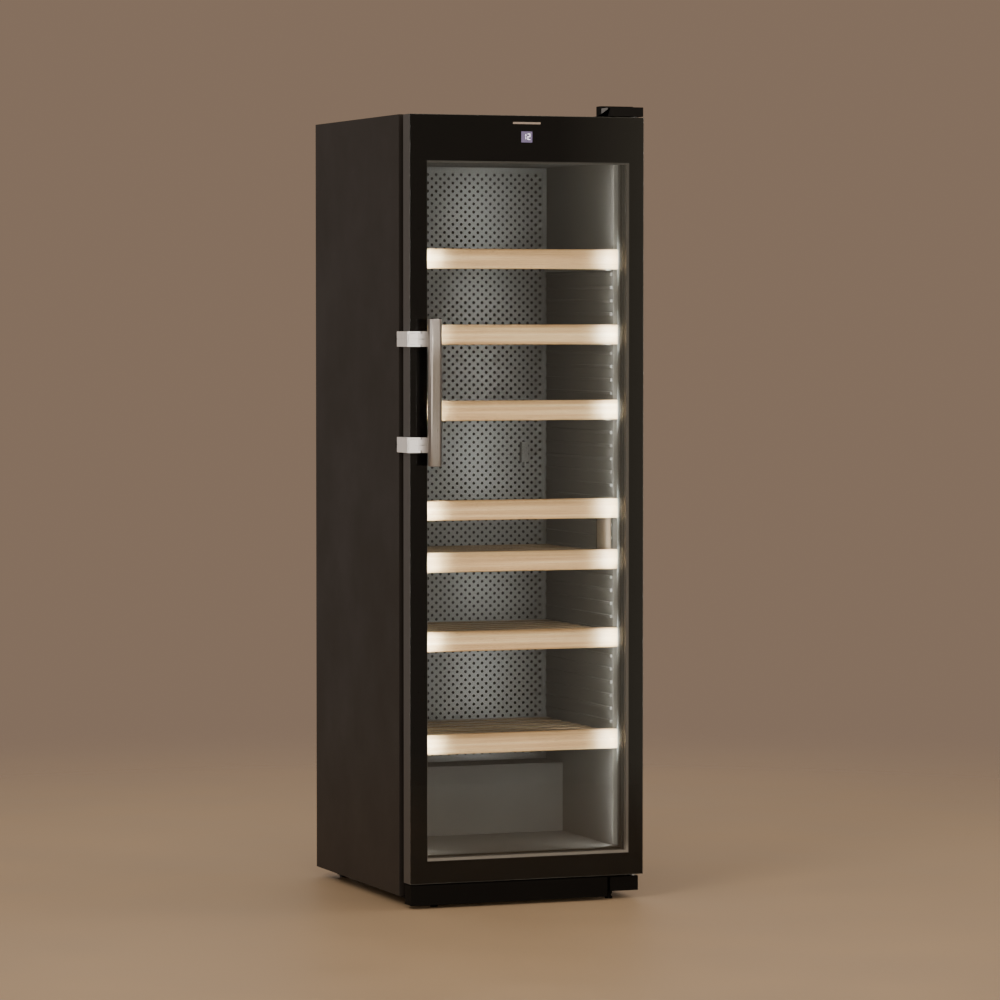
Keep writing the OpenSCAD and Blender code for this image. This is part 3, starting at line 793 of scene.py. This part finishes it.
def arms_with_painted_light():
    """The lever arms get a painted highlight inside the brackets and painted shade as dark as the
    bar outside them.
    """
    painted_highlight_until, painted_shade_from = -0.281, -0.268
    s = Surface("arm_metal_painted_light", (0.33, 0.30, 0.275), 0.34, 0.8)
    across = s.node("ShaderNodeMapRange")
    across.inputs["From Min"].default_value = painted_highlight_until
    across.inputs["From Max"].default_value = painted_shade_from
    s.link(object_place(s)["X"], across.inputs["Value"])
    # painted highlight inside the brackets, painted shade outside them
    s.link(
        s.ramp(across.outputs[0], [(0.0, (0.92, 0.90, 0.88)), (1.0, (0.42, 0.385, 0.35))]),
        s.shader.inputs["Base Color"],
    )
    s.link(s.ramp(across.outputs[0], [(0.0, 0.2), (1.0, 0.8)]), s.shader.inputs["Metallic"])
    s.bump(s.noise(1.0, (900, 900, 14)), 0.00001)
    dress_again("handle_arms", s.mat)


def cable_sleeve():
    """The grey sleeve in the recess on the left of the hinge cover."""
    low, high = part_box("hinge_cover")
    x0, x1 = low.x + 0.0012, low.x + 0.0049
    y0, y1 = low.y + 0.0205, low.y + 0.0635
    z0, z1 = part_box("top_panel")[1].z + 0.0022, high.z - 0.0055
    obj = add_piece(
        "cable_sleeve", *box_mesh([((x0, y0, z0), (x1, y1, z1))]),
        MATERIALS["grey_plastic"], "cabinet", "grey_plastic",
    )
    round_edges(obj, 0.003, 4)


def inlet_pins():
    """Three contact pins in the mains inlet."""
    low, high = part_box("mains_inlet")
    middle = (low.x + high.x) / 2
    z = (low.z + high.z) / 2
    y0, y1 = high.y - 0.0175, high.y - 0.0045
    parts = [
        ((x - 0.001, y0, z - 0.002), (x + 0.001, y1, z + 0.002))
        for x in (middle - 0.007, middle, middle + 0.007)
    ]
    add_piece("inlet_pins", *box_mesh(parts), MATERIALS["steel"], "cabinet", "steel")


# ---------------------------------------------------------------- lights in the cabinet


def cabinet_lights():
    """Light from both columns on the liner and the board ends, and a soft light on each board."""
    liner_power, fill_power, end_power = 3.7, 0.34, 0.22
    low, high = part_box("led_columns")
    white, golden, cool = (1.0, 0.98, 0.95), (1.0, 0.91, 0.76), (0.82, 0.94, 1.0)
    middle_z = (low.z + high.z) / 2
    length = high.z - low.z - 0.02
    pane_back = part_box("inner_panes")[1].y
    for side in (-1, 1):
        edge = side * (high.x - 0.006)
        add_area(
            f"liner_light_{side}", (edge - side * 0.010, low.y + 0.012, middle_z),
            (-edge * 0.2, 0.20, middle_z), (0.020, length), liner_power, white, side > 0,
        )
    for i in range(1, 8):
        board_low, board_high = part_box(f"shelf_board_{i}")
        z = (board_low.z + board_high.z) / 2 - 0.006
        add_area(
            f"board_fill_{i}", (0, pane_back + 0.012, z), (0, 0, z),
            (1.96 * high.x, 0.03), fill_power, golden, False,
        )
        for side, end in ((-1, board_low.x + 0.044), (1, board_high.x - 0.017)):
            add_area(
                f"board_end_{i}_{side}", (end, pane_back + 0.004, z + 0.006),
                (end - side * 0.004, 0, z + 0.006), (0.016, 0.032), end_power, cool, False, 120,
            )


def studio_lights():
    """Soft lamps round the cabinet, and a narrow one on each handle bracket."""
    white, sunny = (1, 0.97, 0.93), (1, 0.94, 0.87)
    add_area("front", (-0.9, -5.0, 1.5), (0, 0, 1.0), (3.0, 3.0), 110, sunny)
    add_area("key", (-4.4, -3.6, 4.2), (-0.2, 0, 1.0), (2.4, 2.4), 110, white)
    low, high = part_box("handle_brackets")
    half_bracket = 0.018
    for name, z in (("lower", low.z + half_bracket), ("upper", high.z - half_bracket)):
        aim = (low.x + 0.013, low.y, z)
        add_spot(f"{name}_bracket_spot", (0.35, -2.5, 2.0), aim, 1.9, 240, white)
    add_area("side", (-5.5, 1.2, 2.0), (0, 0, 1.0), (3.0, 3.0), 15, white)
    add_area("fill", (4.0, -1.0, 3.5), (0, 0, 0.9), (3.0, 3.0), 30, white, False)
    add_area("rear", (1.5, 4.5, 3.2), (0, 0, 1.0), (3.0, 2.0), 30, white, False)


# ---------------------------------------------------------------- the scene

add_camera()
add_world()
add_floor()
dress_cad()
perforated_panel()
door_print()
bellows_gasket()
spacers_with_painted_foot()
arms_with_painted_light()
cable_sleeve()
inlet_pins()
cabinet_lights()
studio_lights()
